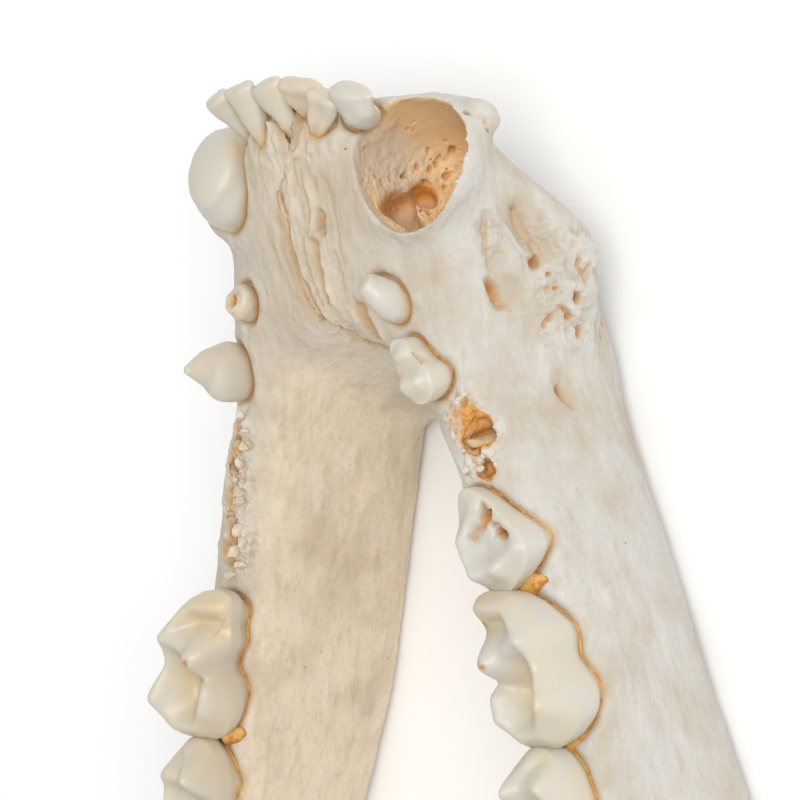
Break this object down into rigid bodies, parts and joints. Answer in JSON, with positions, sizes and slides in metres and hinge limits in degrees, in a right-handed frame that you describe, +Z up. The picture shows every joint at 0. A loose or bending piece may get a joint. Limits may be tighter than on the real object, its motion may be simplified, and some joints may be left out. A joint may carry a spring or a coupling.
{
  "type": "raccoon lower jaw",
  "caption": "Dry lower jaw of a raccoon: paired dentary bones meeting at the chin, with worn and broken teeth and an empty canine socket.",
  "frame": {"origin": "on the resting plane, under the middle of the jaw's bounding box", "axes": "+Y runs back from the chin to the condyles, +X to the animal's left, +Z up; the jaw rests on its lower borders"},
  "size_m": [0.0664, 0.0864, 0.0405],
  "materials": {
    "dentary_left": "dry bleached bone with fused enamel teeth",
    "dentary_right": "dry bleached bone with fused enamel teeth"
  },
  "bodies": {
    "root": {"dentary_left": "dentary_left", "dentary_right": "dentary_right"}
  },
  "joints": []
}
